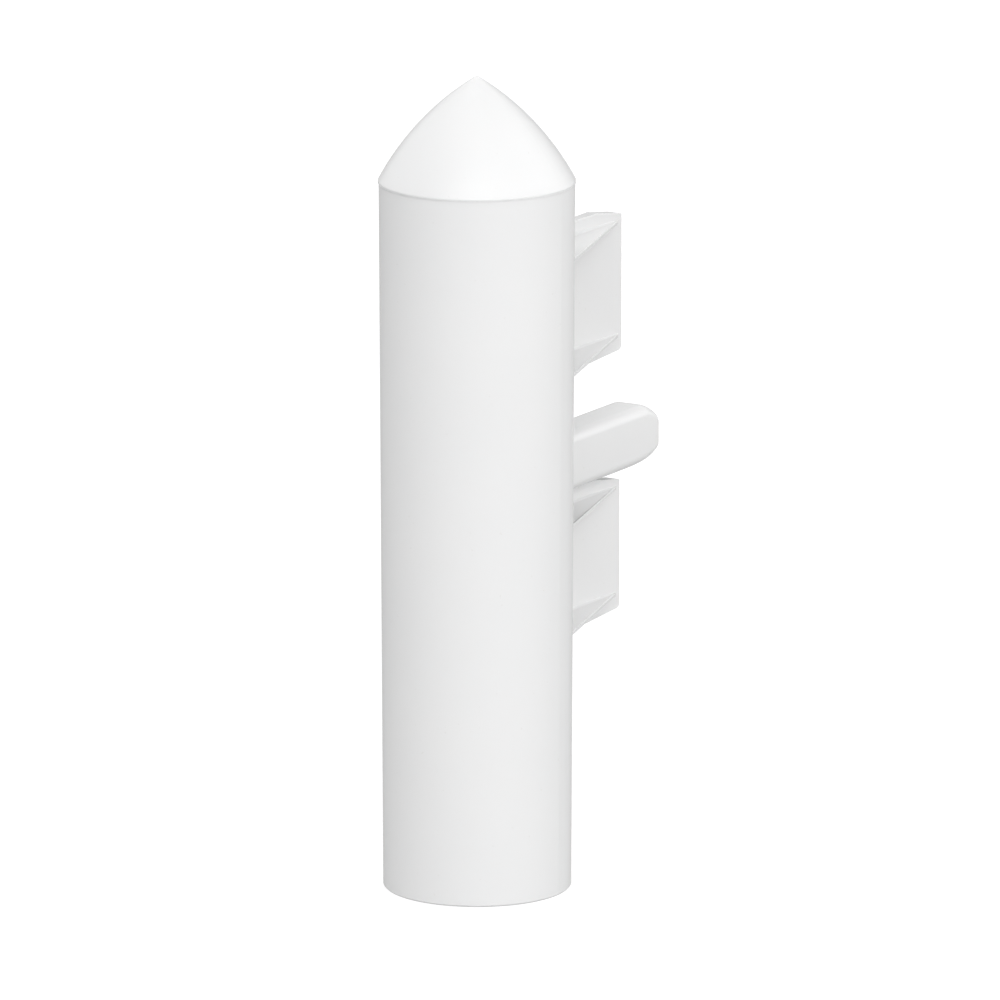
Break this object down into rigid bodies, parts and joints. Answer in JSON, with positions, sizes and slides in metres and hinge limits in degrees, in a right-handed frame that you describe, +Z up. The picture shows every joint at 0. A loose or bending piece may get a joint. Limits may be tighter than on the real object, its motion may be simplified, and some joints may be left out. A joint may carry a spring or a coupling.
{
  "type": "fence post cap",
  "caption": "White sleeve with a pointed dome that covers the top of a fence post, with stand-off arms at the back and a sprung finger that keeps a fence wire.",
  "frame": {"origin": "centre of the sleeve's open lower end, on the axis of the bore", "axes": "+Z up the sleeve's axis towards the dome's point, +Y towards the arms and the finger at the back, +X across the arms along the hinge pin"},
  "size_m": [0.0504, 0.1115, 0.2116],
  "materials": {
    "sleeve_plastic": "satin moulded white",
    "dome_plastic": "satin moulded white",
    "arm_plastic": "satin moulded white",
    "finger_plastic": "satin moulded white",
    "rivet_plastic": "satin moulded white",
    "steel": "bright drawn wire and pin stock"
  },
  "bodies": {
    "sleeve_assembly": {"sleeve": "sleeve_plastic", "dome_cap": "dome_plastic", "upper_arm": "arm_plastic", "lower_arm": "arm_plastic", "finger_base": "arm_plastic", "hinge_pin": "steel", "pin_clip": "steel", "keeper_spring": "steel", "upper_arm_rivets": "rivet_plastic", "lower_arm_rivets": "rivet_plastic", "base_rivets": "rivet_plastic"},
    "finger": {"keeper_finger": "finger_plastic"}
  },
  "joints": [
    {"name": "finger_hinge", "type": "hinge", "parent": "sleeve_assembly", "child": "finger", "pos_m": [0, 0.0295, 0.10405], "axis": [1, 0, 0], "range_deg": [0, 18], "stiffness_Nm_per_rad": 0.1, "springref_deg": -20.05, "deforming": ["keeper_spring"]}
  ]
}
